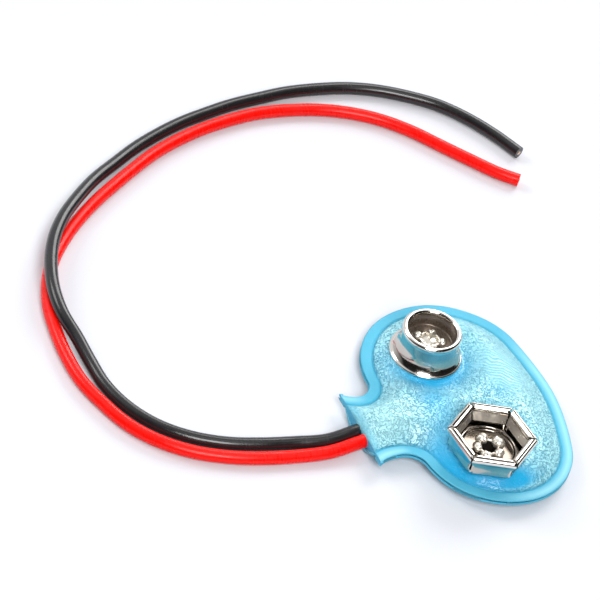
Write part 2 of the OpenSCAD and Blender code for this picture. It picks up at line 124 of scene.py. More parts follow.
# %% [markdown]
# ## Leads
# Each lead is a stranded wire in soft insulation, cut square at its free end. A curve object with a
# bevel would do, but a mesh tube gives a clean cut face. The route is the same list of points as
# in the solids, joined by a smooth curve, with the black lead lying over the red one where they cross.

# %% Routes of the leads, in metres
LEAD_D = 0.00125
LYING_Z = 0.65

def lead_route(points_mm):
    """A route in metres; a point without a height of its own lies on the floor."""
    return np.array([(*p, LYING_Z)[:3] for p in points_mm]) * MM

BLACK_ROUTE = lead_route([
    (-2.2, -4.9, 1.085), (-1.15, -6.4, 1.085), (-0.6, -8, 1.085), (-0.2, -10.3, 1.085),
    (-0.1, -13, 0.8), (-0.7, -16), (-1.3, -19), (-2.2, -22.1), (-3.7, -25), (-5.8, -27.4),
    (-8.5, -29.1), (-11.5, -30), (-14.4, -30.2, 0.75), (-17.2, -30.4, 1.15), (-20, -30.8, 1.7),
    (-22.9, -30.5, 2), (-25.9, -29.5, 2), (-28.8, -28, 2), (-31.5, -25.9, 1.85), (-34, -23.3, 1.5),
    (-36.4, -20.4, 1.05), (-38.3, -17.4, 0.75), (-40, -14.4), (-41.3, -11.4), (-42.3, -8.5),
    (-43, -5.6), (-43.6, -2.5), (-43.9, 0.6), (-44.1, 3.8), (-43.9, 7), (-43.4, 10.2),
    (-42.4, 13.2), (-40.9, 16), (-39, 18.6), (-36.5, 20.7), (-33.8, 22.3), (-30.9, 23.6)])
RED_ROUTE = lead_route([
    (2.05, -4.7, 1.085), (1.2, -6.2, 1.085), (0.75, -7.8, 1.085), (1.12, -10.2, 1.085),
    (1.3, -13.2, 0.8), (0.9, -16.4), (0.3, -19.6), (-0.6, -22.6), (-2, -25.5), (-4, -28),
    (-6.5, -29.9), (-9.5, -31.1), (-12.6, -31.9), (-15.8, -32), (-19, -31.7), (-22.1, -31.1),
    (-25.1, -29.9), (-27.7, -28.2), (-30.1, -26), (-32.2, -23.6), (-34.1, -21), (-35.8, -18.3),
    (-37.4, -15.6), (-38.9, -12.8), (-40.1, -9.8), (-41, -6.8), (-41.6, -3.6), (-41.9, -0.5),
    (-41.7, 2.7), (-41.1, 5.9), (-40, 8.9), (-38.4, 11.6), (-36.2, 14), (-33.7, 16), (-31.2, 18),
    (-28.8, 20), (-27.3, 21.7)])

print("routes of", len(BLACK_ROUTE), "and", len(RED_ROUTE), "points")

def smooth_line(route, steps):
    """Points on a smooth curve through the route, with the given number of steps between two points."""
    padded = np.vstack([2 * route[0] - route[1], route, 2 * route[-1] - route[-2]])
    line = []
    for i in range(1, len(padded) - 2):
        a, b, c, d = padded[i - 1:i + 3]
        for t in np.linspace(0, 1, steps, endpoint=False):
            line.append(0.5 * (2 * b + (c - a) * t + (2 * a - 5 * b + 4 * c - d) * t ** 2
                               + (3 * b - a - 3 * c + d) * t ** 3))
    line.append(route[-1])
    return np.array(line)

def tube_mesh(line, radius, sides):
    """Points and faces of a round tube along a line, with flat ends."""
    heading = np.gradient(line, axis=0)
    heading /= np.linalg.norm(heading, axis=1)[:, None]
    side = np.cross(heading, (0, 0, 1))
    side /= np.linalg.norm(side, axis=1)[:, None]
    rise = np.cross(side, heading)
    turns = np.linspace(0, 2 * math.pi, sides, endpoint=False)
    rings = (line[:, None, :] + radius * (np.cos(turns)[None, :, None] * side[:, None, :]
                                          + np.sin(turns)[None, :, None] * rise[:, None, :]))
    return rings.reshape(-1, 3), row_faces(len(line), sides) + end_caps(len(line), sides)

MOUTH = -9.7
LEAD_STEPS, LEAD_SIDES, NEAR_MOUTH = 6, 24, 60

def make_lead(name, node, route, slot):
    line = smooth_line(route, LEAD_STEPS)
    points, faces = tube_mesh(line, LEAD_D / 2, LEAD_SIDES)
    lead = new_piece(name, points / MM, faces, slot, (node,), sharp_angle=50)
    return lead, line

black_lead, black_line = make_lead("black_wire", "black_lead", BLACK_ROUTE, "black_pvc")
red_lead, red_line = make_lead("red_wire", "red_lead", RED_ROUTE, "red_pvc")

# %% [markdown]
# A stranded wire that is cut square shows the ends of its strands. They are tiny, so seven short
# rods with a rounded tip are enough, placed in the plane that the tube ends in.

# %% Cut ends of the strands
STRAND_R, STRAND_DEPTH, STRAND_SIDES, STRAND_TURN = 0.075, 0.4, 12, 12
STRAND_PROFILE = [(0.6 * STRAND_R, 0.05), (STRAND_R, 0.02), (STRAND_R, -STRAND_DEPTH),
                  (0.5 * STRAND_R, -STRAND_DEPTH)]

def lathe(profile, sides, closed=True):
    """Points and faces of a profile of radius and height turned round the vertical axis."""
    turns = np.linspace(0, 2 * math.pi, sides, endpoint=False)
    points = [(r * math.cos(a), r * math.sin(a), z) for r, z in profile for a in turns]
    return points, row_faces(len(profile), sides, closed)

def capped_lathe(profile, sides):
    """The same with flat ends in place of a closed section."""
    points, faces = lathe(profile, sides, closed=False)
    return points, faces + end_caps(len(profile), sides)

def join_shells(shells):
    """One list of points and faces from several closed shells."""
    points, faces = [], []
    for shell_points, shell_faces in shells:
        start = len(points)
        points += [tuple(p) for p in shell_points]
        faces += [tuple(start + i for i in face) for face in shell_faces]
    return points, faces

def cut_strands(name, line):
    end = line[-1] / MM
    ahead = line[-1] - line[-2]
    ahead = ahead / np.linalg.norm(ahead)
    side = np.cross(ahead, (0, 0, 1))
    side /= np.linalg.norm(side)
    rise = np.cross(side, ahead)
    points, faces = capped_lathe(STRAND_PROFILE, STRAND_SIDES)
    shells = []
    for k in range(7):
        reach = 0 if k == 0 else 2.1 * STRAND_R
        a = math.radians(60 * k + STRAND_TURN)
        base = end + side * reach * math.cos(a) + rise * reach * math.sin(a)
        length = 1 - 0.35 * math.sin(2.3 * k) ** 2
        placed = [base + side * p[0] + rise * p[1] + ahead * p[2] * length for p in points]
        shells.append((placed, faces))
    return new_piece(name, *join_shells(shells), "strands")

black_cut = cut_strands("black_wire_strands", black_line)
red_cut = cut_strands("red_wire_strands", red_line)

# %% [markdown]
# ## Outline of the cover
# The pouch is cut along five arcs that run into each other: two neck arcs, two round ends and a
# long back edge. Working from the arcs themselves gives the distance of any point from the cut
# edge, and that distance drives everything that happens near the rim.

# %% Arcs of the outline, in millimetres
STUD_X, SOCKET_X = -6.35, 6.35
NECK_R, NECK_HALF, NECK_FLARE = 1.8, 3.75, math.radians(50)
SOCKET_END_R, STUD_END_R, BACK_R = 7.5, 8.3, 24.0
socket_end, stud_end = np.array((4.3, 2.1)), np.array((-5.0, 2.1))

def neck_centre(end, end_r, side):
    """Centre of the neck arc that touches a round end from outside."""
    x = side * (NECK_HALF + NECK_R)
    return np.array((x, end[1] - math.sqrt((end_r + NECK_R) ** 2 - (x - end[0]) ** 2)))

neck_right = neck_centre(socket_end, SOCKET_END_R, 1)
neck_left = neck_centre(stud_end, STUD_END_R, -1)
ends_apart = socket_end[0] - stud_end[0]
to_stud, to_socket = BACK_R - STUD_END_R, BACK_R - SOCKET_END_R
back_x = (to_stud ** 2 - to_socket ** 2 + ends_apart ** 2) / (2 * ends_apart)
back_centre = stud_end + np.array((back_x, -math.sqrt(to_stud ** 2 - back_x ** 2)))
EDGE_STEP = 0.17

def heading_of(a, b):
    return math.atan2(b[1] - a[1], b[0] - a[0])

def edge_arc(centre, radius, start, stop, flared=False):
    steps = max(4, int(abs(stop - start) * radius / EDGE_STEP))
    turns = np.linspace(start, stop, steps, endpoint=False)
    x = centre[0] + radius * np.cos(turns)
    rise = radius * np.sin(turns)
    if flared:
        rise = np.where(rise < 0, rise * (-MOUTH + centre[1]) / (NECK_R * math.sin(NECK_FLARE)), rise)
    return np.column_stack([x, centre[1] + rise])

start_right = math.pi + NECK_FLARE
tangent_right = heading_of(neck_right, socket_end)
tangent_left = heading_of(neck_left, stud_end)
outline = np.vstack([
    edge_arc(neck_right, NECK_R, start_right, tangent_right, flared=True),
    edge_arc(socket_end, SOCKET_END_R, tangent_right - math.pi, heading_of(back_centre, socket_end)),
    edge_arc(back_centre, BACK_R, heading_of(back_centre, socket_end), heading_of(back_centre, stud_end)),
    edge_arc(stud_end, STUD_END_R, heading_of(back_centre, stud_end), tangent_left + math.pi),
    edge_arc(neck_left, NECK_R, tangent_left, -NECK_FLARE, flared=True),
    [(neck_left[0] + NECK_R * math.cos(NECK_FLARE), MOUTH)]])
along = np.gradient(outline, axis=0)
along /= np.linalg.norm(along, axis=1)[:, None]
inward = np.column_stack([-along[:, 1], along[:, 0]])
print("outline of", len(outline), "points, box", outline.min(0).round(2), outline.max(0).round(2))

# %% Distance of a point from the cut edge
BATCH = 4000

def from_edge(x, y):
    """Distance from the cut edge and the inward direction of the nearest edge point."""
    a, b = outline[:-1], outline[1:]
    span = b - a
    length2 = (span ** 2).sum(1)
    best, facing = np.zeros(len(x)), np.zeros(len(x))
    for start in range(0, len(x), BATCH):
        some = slice(start, start + BATCH)
        p = np.column_stack([x[some], y[some]])
        rel = p[:, None, :] - a[None]
        t = np.clip((rel * span).sum(2) / length2, 0, 1)
        gap = rel - t[..., None] * span
        d2 = (gap ** 2).sum(2)
        k = d2.argmin(1)
        best[some] = np.sqrt(d2[np.arange(len(p)), k])
        facing[some] = inward[k, 1]
    return best, facing

print("edge lies", from_edge(np.zeros(1), np.zeros(1))[0].round(2).tolist(), "mm from the middle")

# %% [markdown]
# ## One flat net for both skins
# A sheet is easiest to shape when its points lie in rows where the form changes quickly. Near the
# edge the points follow the outline in rows, over the middle they form an even net, and Blender's
# own constrained triangulation joins them. The same flat net then becomes the top and the bottom.

# %% Triangulate the net
HOLE_R = 1.03
ROWS = [0.05, 0.11, 0.25, 0.45, 0.65, 0.82, 0.92, 0.99, 1.06, 1.13, 1.20, 1.28, 1.38, 1.5, 1.62]
NET_STEP = 0.17

mouth_x = np.arange(outline[-1][0] + 0.12, outline[0][0] - 0.06, 0.12)
edge_loop = np.vstack([outline, np.column_stack([mouth_x, np.full(len(mouth_x), MOUTH)])])
rows = [outline + inward * d for d in ROWS]
gx, gy = np.meshgrid(np.arange(-13, 12.2, NET_STEP), np.arange(MOUTH, 10.5, NET_STEP * 0.866))
gx[1::2] += NET_STEP / 2
net = np.column_stack([gx.ravel(), gy.ravel()])

def inside_outline(points):
    """True for the points inside the closed edge."""
    x, y = points[:, 0], points[:, 1]
    result = np.zeros(len(points), bool)
    for (xa, ya), (xb, yb) in zip(edge_loop, np.roll(edge_loop, -1, axis=0)):
        if ya == yb:
            continue
        crosses = (ya > y) != (yb > y)
        result ^= crosses & (x < (xb - xa) * (y - ya) / (yb - ya) + xa)
    return result

net = net[inside_outline(net)]
net_gap, _ = from_edge(net[:, 0], net[:, 1])
net = net[(net_gap > ROWS[-1] + 0.08) & (net[:, 1] > MOUTH + 0.08)]
row_points = np.vstack(rows)
row_points = row_points[inside_outline(row_points) & (row_points[:, 1] > MOUTH + 0.05)]
row_gap, _ = from_edge(row_points[:, 0], row_points[:, 1])
row_points = row_points[row_gap > 0.04]
ring_turns = np.linspace(0, 2 * math.pi, 40, endpoint=False)
rings = [np.column_stack([c + HOLE_R * np.cos(ring_turns), HOLE_R * np.sin(ring_turns)])
         for c in (STUD_X, SOCKET_X)]
for c in (STUD_X, SOCKET_X):
    net = net[np.hypot(net[:, 0] - c, net[:, 1]) > HOLE_R + 0.06]
flat_points = np.vstack([edge_loop, row_points, net] + rings)
loop_edges = [(i, (i + 1) % len(edge_loop)) for i in range(len(edge_loop))]
cut = geometry.delaunay_2d_cdt([Vector(p) for p in flat_points], loop_edges, [], 1, 1e-6)
plan = np.array([tuple(v) for v in cut[0]])
plan_faces = np.array([tuple(f) for f in cut[2]])
middle = plan[plan_faces].mean(1)
for c in (STUD_X, SOCKET_X):
    keep = np.hypot(middle[:, 0] - c, middle[:, 1]) > HOLE_R * 0.98
    plan_faces, middle = plan_faces[keep], middle[keep]
edge_gap, edge_facing = from_edge(plan[:, 0], plan[:, 1])
print("flat net of", len(plan), "points and", len(plan_faces), "triangles")

# %% [markdown]
# ## Shape of the vinyl
# Thin vinyl is welded flat along the rim and puffed over the parts inside. Sheet like this could be
# made by a cloth simulation, but the welded rim, the dents round the terminals and the fine
# creases are small and clearly placed, so each is written as a height over the flat net.

# %% Heights of the sheet, in millimetres
SEAT_Z, NECK_Z, WELD_Z, WELD_T = 2.66, 2.17, 1.15, 0.3
WELD_W = 1.2
SLOPE_FRONT, SLOPE_SOCKET, SLOPE_STUD, SLOPE_REAR = 2.0, 2.0, 2.7, 3.4
TIP_LIFT = 0.3
NECK_TOP = -5.6
STUD_FOOT_R, SOCKET_FOOT_R = 3.5, 4.0

def ease(t):
    t = np.clip(t, 0, 1)
    return t * t * (3 - 2 * t)

def bump_at(x, y, cx, cy, wide, deep):
    return np.exp(-((x - cx) / wide) ** 2 - ((y - cy) / deep) ** 2)

def slope_station(x, gap, facing):
    """0 at the inside of the weld, 1 where the slope reaches its full height."""
    front, rear = np.maximum(facing, 0) ** 2, np.maximum(-facing, 0) ** 2
    end = SLOPE_SOCKET + (SLOPE_STUD - SLOPE_SOCKET) * ease(-x / 8 - 0.2)
    width = end + (SLOPE_FRONT - end) * front + (SLOPE_REAR - end) * rear
    return (gap - WELD_W) / width

def neck_share(y):
    """0 at the mouth of the neck, 1 where it joins the body."""
    return np.clip((y - MOUTH) / (NECK_TOP - MOUTH), 0, 1) ** 1.5

def soft_waves(x, y):
    """Slow unevenness of a hand-made pouch, between -1 and 1."""
    return (np.sin(1.31 * x + 0.74 * y + 0.4) + np.sin(-0.93 * x + 1.55 * y + 2.1)
            + np.sin(2.1 * x - 1.2 * y + 4.0) + np.sin(0.55 * x + 2.4 * y + 1.2)) / 4

def rim_wave(x, y):
    """Slow rise and fall of the welded rim, shared by both skins."""
    return 0.07 * np.sin(0.62 * x + 1.1) * np.cos(0.55 * y + 0.4)

station = slope_station(plan[:, 0], edge_gap, edge_facing)
share = neck_share(plan[:, 1])
on_slope = np.clip(station, 0, 1)
tip_curl = TIP_LIFT * (1 - share) ** 2 * (1 - on_slope)
rim_shift = rim_wave(*plan.T) * (1 - on_slope) * ease(share * 1.5)
print("full height over", round(float((station > 1).mean() * 100)), "percent of the net")

# %% [markdown]
# The dents come from the terminals being riveted down into the soft sheet: the vinyl dips round
# each foot, stands up in a low fold between the two and is puffed over the leads. Along the rim the
# welding tool has pressed a narrow seam. Finer ripples beside the stud are left to the finish, so only
# their place is worked out here.

# %% Dents, fold and seam of the top
CROWN_H, FOLD_H, PILLOW_H, DENT_DEEP, UNEVEN_H = 0.45, 0.16, 0.10, 0.12, 0.055
SEAM_AT, SEAM_WIDE, SEAM_DEEP = 1.13, 0.085, 0.15
EDGE_DROP, EDGE_WIDE, MOUTH_DROP, MOUTH_WIDE = 0.09, 0.16, 0.5, 0.9

def foot_gaps(x, y):
    """Distances of a point from the feet of the stud and of the socket."""
    return np.hypot(x - STUD_X, y) - STUD_FOOT_R, np.hypot(x - SOCKET_X, y) - SOCKET_FOOT_R

def ring_at(gap, middle, wide):
    return np.exp(-((gap - middle) / wide) ** 2)

def rounded(gap, wide):
    """1 at an edge, falling to 0 in a quarter circle as wide as given."""
    return 1 - np.sqrt(1 - np.clip(1 - gap / wide, 0, 1) ** 2)

def top_relief(x, y, s):
    stud_gap, socket_gap = foot_gaps(x, y)
    clear = ease((stud_gap - 0.5) / 2.2) * ease((socket_gap - 0.2) / 2.0)
    inner = ease(s)
    crown = CROWN_H * clear * inner * ease((y - MOUTH) / 2.4)
    beside = ease(stud_gap / 1.4) * ease(socket_gap / 1.2)
    fold = FOLD_H * bump_at(x, y, 0.3 + 0.1 * y, 0.6, 0.8, 2.6) * beside
    pillow = PILLOW_H * bump_at(x, y, -0.2, -7.0, 1.9, 1.8) * inner
    dent = -DENT_DEEP * (ring_at(stud_gap, 0.35, 0.3) + ring_at(socket_gap, 0.35, 0.3)) * inner
    uneven = UNEVEN_H * soft_waves(x, y) * clear * inner
    return crown + fold + pillow + dent + uneven

def ripple_share(x, y, s):
    """Where the sheet is drawn into fine parallel ripples beside the stud."""
    stud_gap, _ = foot_gaps(x, y)
    area = (bump_at(x, y, -2.4, 6.2, 3.0, 2.2) + 0.8 * bump_at(x, y, -9.8, -3.6, 2.0, 1.6)
            + 0.5 * bump_at(x, y, -9.2, 5.4, 1.6, 1.8))
    return np.clip(1.3 * area, 0, 1) * ease(stud_gap / 1.2) * ease(s / 0.4)

relief = top_relief(plan[:, 0], plan[:, 1], station)
full_top = NECK_Z + (SEAT_Z - NECK_Z) * np.sin(math.pi / 2 * share)
rim_top = WELD_Z + WELD_T
seam_share = ring_at(edge_gap, SEAM_AT, SEAM_WIDE)
seam = SEAM_DEEP * seam_share
edge_round = EDGE_DROP * rounded(edge_gap, EDGE_WIDE)
mouth_round = MOUTH_DROP * rounded(plan[:, 1] - MOUTH, MOUTH_WIDE) * on_slope
rise = np.sin(math.pi / 2 * on_slope)
top_z = (rim_top + (full_top - rim_top) * rise + tip_curl + rim_shift + relief
         - seam - edge_round - mouth_round)
print("top from", round(float(top_z.min()), 2), "to", round(float(top_z.max()), 2), "mm")

# %% [markdown]
# The finish has to know where to paint shade on the sheet as a deeper blue, where to paint sheen as a
# paler blue and where it keeps its grain. Each of these is a number between 0 and 1, worked out from the
# plan of the cover. Painting it by hand would also do, but it wouldn't follow a change of shape.

# %% Places that change the finish
def hollow_share(x, y, s):
    """Painted shade as a deeper blue: in the hollows beside the terminals, more on one side of each, and in
    patches near them.
    """
    stud_gap, socket_gap = (np.maximum(gap, 0) for gap in foot_gaps(x, y))
    stud_side = np.clip(0.45 + 0.55 * np.cos(np.arctan2(y, x - STUD_X) + 0.15), 0.1, 1)
    socket_side = np.clip(0.5 + 0.5 * np.cos(np.arctan2(y, x - SOCKET_X) + 1.35), 0.15, 1)
    near = (stud_side * (0.65 * ring_at(stud_gap, 0, 1.2) + 0.35 * ring_at(stud_gap, 0, 2.8))
            + socket_side * (0.65 * ring_at(socket_gap, 0, 1.5) + 0.35 * ring_at(socket_gap, 0, 3.0)))
    beside = (1.0 * bump_at(x, y, 10.2, 0.9, 1.7, 2.8) + 0.35 * bump_at(x, y, 0.3, 4.2, 1.5, 1.5)
              + 0.55 * bump_at(x, y, -0.3, -2.4, 1.6, 1.5))
    return np.clip((near + beside * ease(s / 0.3)) * (s > -0.1), 0, 1)

def drawn_share(x, y, s, gap, facing):
    """Painted sheen as a paler blue: over the leads, in front of and between the terminals, and along the
    back rim.
    """
    leads = bump_at(x, y, 1.2, -7.0, 3.4, 2.2)
    front = 0.7 * bump_at(x, y, -4.9, -4.3, 1.8, 1.5) + 0.5 * bump_at(x, y, 4.2, -4.6, 1.8, 1.2)
    over = np.clip(leads + front + 0.4 * bump_at(x, y, 0.4, 0.2, 1.2, 2.4), 0, 1) * ease(s / 0.4)
    back_rim = 0.7 * ring_at(gap, 0.42, 0.34) * ease((x + 9) / 8) * ease(0.6 - facing)
    return np.maximum(over, back_rim)

def grain_share(gap, y):
    """0 on the pressed rim and the turned-down end, 1 over the embossed middle."""
    return ease((gap - 1.02) / 0.28) * (0.3 + 0.7 * ease((y - MOUTH - 0.2) / 0.8))

print("deep over", round(float((hollow_share(*plan.T, station) > 0.5).mean() * 100)), "percent of the net")

# %% [markdown]
# At the neck the top sheet turns down in front and hugs the leads. That end is a strip hung from the
# front row of the net. A Solidify modifier then gives the whole sheet its thickness inwards.
# Each share from above becomes an attribute of the mesh, which the finish can read.

# %% Make the top skin
WALL_ROWS, WALL_LEAN, WALL_GAP, MOUTH_WALL_SHADE, WALL_GRAIN = 6, 0.12, 0.01, 0.45, 0.15
SHEET_T, SKIN_T = 0.28, 0.4

bottom_inner = WELD_Z - (WELD_Z - SKIN_T) * rise + tip_curl + rim_shift
front_row = [i for i in range(len(plan)) if plan[i, 1] < MOUTH + 1e-4]
front_row.sort(key=lambda i: plan[i, 0])

def thicken(piece, thickness):
    solid = piece.modifiers.new("sheet thickness", "SOLIDIFY")
    solid.thickness = thickness * MM
    solid.offset = -1
    solid.use_even_offset = False

def set_share(piece, name, values):
    layer = piece.data.attributes.new(name, "FLOAT", "POINT")
    layer.data.foreach_set("value", np.asarray(values, dtype=np.float32))

def used_only(faces):
    """The points that the faces use, and the faces counted in those points."""
    used = sorted({int(i) for f in faces for i in f})
    place = {old: new for new, old in enumerate(used)}
    return used, [tuple(place[int(i)] for i in f) for f in faces]

def build_top():
    x, y = plan.T
    points = [tuple(p) for p in np.column_stack([plan, top_z])]
    faces = [tuple(f) for f in plan_faces]
    hollow = list(hollow_share(x, y, station))
    above = front_row
    for r in range(1, WALL_ROWS + 1):
        t = r / WALL_ROWS
        below = []
        for i in front_row:
            below.append(len(points))
            height = top_z[i] + (bottom_inner[i] + WALL_GAP - top_z[i]) * t
            points.append((x[i], MOUTH + WALL_LEAN * on_slope[i] * t ** 1.5, height))
            # The turned-down end is painted a deeper blue as shade.
            hollow.append(MOUTH_WALL_SHADE)
        for a in range(len(front_row) - 1):
            faces.append((above[a], below[a], below[a + 1], above[a + 1]))
        above = below
    used, faces = used_only(faces)
    skin = new_piece("vinyl_top", [points[i] for i in used], faces, "vinyl", ("top_skin",))
    set_share(skin, "hollow", [hollow[i] for i in used])
    wall = len(points) - len(plan)
    for name, values, on_wall in (("grain", grain_share(edge_gap, y), WALL_GRAIN),
                                  ("ripple", ripple_share(x, y, station), 0.0),
                                  ("drawn", drawn_share(x, y, station, edge_gap, edge_facing), 0.0),
                                  ("seam", seam_share, 0.0)):
        set_share(skin, name, np.concatenate([values, np.full(wall, on_wall)])[used])
    return skin

vinyl_top = build_top()
thicken(vinyl_top, SHEET_T)

# %% [markdown]
# The bottom sheet is the same net turned the other way, its two round holes included: flat where it
# lies on the table, with the same welded rim and lifted tips, so the two edges stay on each other.

# %% Make the bottom skin
belly_wave = 0.02 * (1 + soft_waves(*plan.T)) * ease(station - 0.6)
bottom_z = (WELD_Z - WELD_T) * (1 - rise) + tip_curl + rim_shift + seam + edge_round + belly_wave

def build_bottom():
    points = np.column_stack([plan, np.maximum(bottom_z, 0.0)])
    used, faces = used_only(plan_faces)
    skin = new_piece("vinyl_bottom", points[used], [f[::-1] for f in faces], "vinyl", ("bottom_skin",))
    none = np.zeros(len(used))
    for name, values in (("hollow", none), ("grain", grain_share(edge_gap[used], plan[used, 1])),
                         ("ripple", none), ("drawn", none), ("seam", seam_share[used])):
        set_share(skin, name, values)
    return skin

vinyl_bottom = build_bottom()
thicken(vinyl_bottom, SHEET_T)

# %% [markdown]
# ## Stud
# The male terminal is drawn from one disc of plated sheet and its rim is rolled over. A Screw modifier
# could turn its half section, but a lathe of plain points is as short, and gives the rolled lip, the
# nearly straight wall, the bell foot and the cup with its raised floor in one closed shape.

# %% Turn the stud
def arc_points(cx, cz, radius, start, stop, steps):
    return [(cx + radius * math.cos(math.radians(a)), cz + radius * math.sin(math.radians(a)))
            for a in np.linspace(start, stop, steps)]

STUD_R, STUD_H, STUD_FLOOR = 2.80, 3.2, 1.2
LIP_R, STUD_SIDES = 0.27, 128
WALL_SHADE, CUP_DULL = 0.35, 0.5
WAIST = [(3.10, 0.46), (2.99, 0.58), (2.89, 0.76), (2.80, 1.00), (2.72, 1.25), (2.68, 1.50),
         (2.675, 1.75), (2.685, 2.00), (2.70, 2.25), (2.725, 2.48), (2.75, 2.66)]
stud_profile = (
    [(2.20, 0.0)]
    + arc_points(3.30, 0.13, 0.13, -90, 80, 9)
    + [(3.24, 0.285), (3.19, 0.33)]
    + WAIST
    + arc_points(STUD_R - LIP_R, STUD_H - LIP_R, LIP_R, -30, 180, 24)
    + [(2.27, 2.80), (2.28, 2.55), (2.29, 2.1)]
    + arc_points(2.13, STUD_FLOOR + 0.46, 0.16, 0, -90, 5)
    + [(HOLE_R, STUD_FLOOR + 0.30), (HOLE_R, STUD_FLOOR)]
    + arc_points(2.06, STUD_FLOOR - 0.14, 0.14, 90, 0, 4))

def raised_at(shape, x, turned=0.0):
    """Move points from their own centre to a terminal's seat."""
    c, s = math.cos(turned), math.sin(turned)
    return [(x + c * p[0] - s * p[1], s * p[0] + c * p[1], SEAT_Z + p[2]) for p in shape]

def cup_shade(radius, height, mouth_r, top):
    """0 on the outside and the rim of a cup, 1 deep inside it."""
    return (radius < mouth_r) * ease((top - height) / 0.8)

def reach_and_height(points):
    """Distance from the axis and height of each point."""
    across = np.array(points)
    return np.hypot(across[:, 0], across[:, 1]), across[:, 2]

stud_points, stud_faces = lathe(stud_profile, STUD_SIDES)
stud = new_piece("stud_cup", raised_at(stud_points, STUD_X), stud_faces, "nickel", ("stud_terminal",),
                 sharp_angle=50)
stud_reach, stud_z = reach_and_height(stud_points)
# Painted shade: brown deep inside the cup, which is also duller, and a little on the drawn outer wall.
stud_depth = cup_shade(stud_reach, stud_z, 2.35, 2.95)
drawn_wall = (stud_reach > 2.6) & (stud_z > 0.4) & (stud_z < 2.6)
set_share(stud, "inside", np.where(drawn_wall, WALL_SHADE, stud_depth))
set_share(stud, "dull", CUP_DULL * stud_depth)

# %% [markdown]
# ## Socket
# The female terminal is a hexagonal cup: six petals are bent up, folded over at the top and brought
# back down inside, so that they spring against the round stud of a battery. One petal is a folded
# section stretched to a width that follows the hexagon; the slits between petals come from that width.
# On top of each fold runs a short crease, where the sheet was bent twice.

# %% Fold one petal
TOP_FLAT, FOOT_FLAT, SOCKET_H = 3.7, 3.31, 2.5
FOLD_R, LEDGE_Z = 0.3, 0.35
METAL_T, SLIT, CORNER_SOFT = 0.28, 0.21, 0.03
PETAL_ACROSS = (-1.0, -0.96, -0.88, 0.88, 0.96, 1.0)
LEAF_FOOT, LEAF_TIP_Z = 2.68, 1.05
FOLD_Z = SOCKET_H - FOLD_R

CREASE = [(3.44, 0.012), (3.37, 0.22), (3.31, 0.22), (3.24, 0.012)]
FOLD_BULGE = [(3.68, 2.02), (3.70, 2.12), (3.69, 2.22), (3.655, 2.33), (3.59, 2.42), (3.50, 2.485)]
outer_fold = (FOLD_BULGE + [(x, SOCKET_H - deep) for x, deep in CREASE]
              + arc_points(3.19, SOCKET_H - 0.32, 0.32, 95, 165, 8))
inner_fold = arc_points(TOP_FLAT - FOLD_R, FOLD_Z - 0.06, 0.035, 180, 0, 5)
petal_section = (
    [(FOOT_FLAT - METAL_T, LEDGE_Z + 0.02), (FOOT_FLAT, LEDGE_Z + 0.02), (FOOT_FLAT + 0.01, LEDGE_Z + 0.2)]
    + [(3.37, 0.9), (3.48, 1.5), (3.60, 1.86)] + outer_fold
    + [(2.88, 2.12), (3.0, 1.98), (3.0, 1.9), (LEAF_FOOT, LEAF_TIP_Z + 0.05),
       (LEAF_FOOT + 0.03, LEAF_TIP_Z), (LEAF_FOOT + 0.18, LEAF_TIP_Z + 0.02),
       (LEAF_FOOT + 0.22, LEAF_TIP_Z + 0.1)]
    + inner_fold + [(3.24, 1.6)])

def petal(turn):
    """A closed shell of one folded petal, mitred to the hexagon."""
    half = [math.tan(math.radians(30)) * x - SLIT / 2 for x, _ in petal_section]
    points = []
    for share_across in PETAL_ACROSS:
        soft = CORNER_SOFT if abs(share_across) == 1 else 0.0
        for (x, z), h in zip(petal_section, half):
            in_crease = any(x == c for c, _ in CREASE) and z < SOCKET_H
            level = SOCKET_H if in_crease and abs(share_across) > 0.9 else z
            droop = soft if z > FOLD_Z else 0.0
            points.append((x - 0.4 * soft * (x > TOP_FLAT - FOLD_R), share_across * h, level - droop))
    size = len(PETAL_ACROSS), len(petal_section)
    faces = row_faces(*size) + [cap[::-1] for cap in end_caps(*size)]
    c, s = math.cos(turn), math.sin(turn)
    return [(c * x - s * y, s * x + c * y, z) for x, y, z in points], faces

print("section of a petal has", len(petal_section), "points")

# %% Make the floor of the socket and join it to the petals
SOCKET_TURN = math.radians(-25)
floor_profile = (
    [(HOLE_R, 0.0)] + arc_points(2.60, 0.15, 0.15, -90, -10, 4) + [(2.75, 0.34)]
    + [(3.2, LEDGE_Z), (3.2, LEDGE_Z + 0.28)]
    + arc_points(2.60, LEDGE_Z + 0.18, 0.12, 90, 180, 5)
    + arc_points(2.33, 0.42, 0.12, 0, -90, 5) + [(HOLE_R, 0.30)])

def hex_shell(section):
    """A hexagonal ring with a closed section of reach and height."""
    corner = 1 / math.cos(math.radians(30))
    turns = [math.radians(60 * k + 30) for k in range(6)]
    points = [(r * corner * math.cos(a), r * corner * math.sin(a), z) for r, z in section for a in turns]
    return points, row_faces(len(section), 6, closed=True)

# A thin band behind the slits, painted black as shade.
SLIT_SHADE_BAND = [(3.17, LEDGE_Z), (3.20, LEDGE_Z), (3.24, 1.1), (3.33, 2.1), (3.30, 2.1), (3.21, 1.1)]
LEDGE_CORNERS = [(2.80, LEDGE_Z + 0.03), (3.22, LEDGE_Z + 0.03),
                 (3.22, LEDGE_Z + 0.27), (2.80, LEDGE_Z + 0.27)]
socket_shells = [lathe(floor_profile, 96), hex_shell(SLIT_SHADE_BAND), hex_shell(LEDGE_CORNERS)]
socket_shells += [petal(math.radians(60 * k)) for k in range(6)]
socket_points, socket_faces = join_shells(socket_shells)
socket = new_piece("socket_cup", raised_at(socket_points, SOCKET_X, SOCKET_TURN), socket_faces, "nickel",
                   ("socket_terminal",), sharp_angle=40)

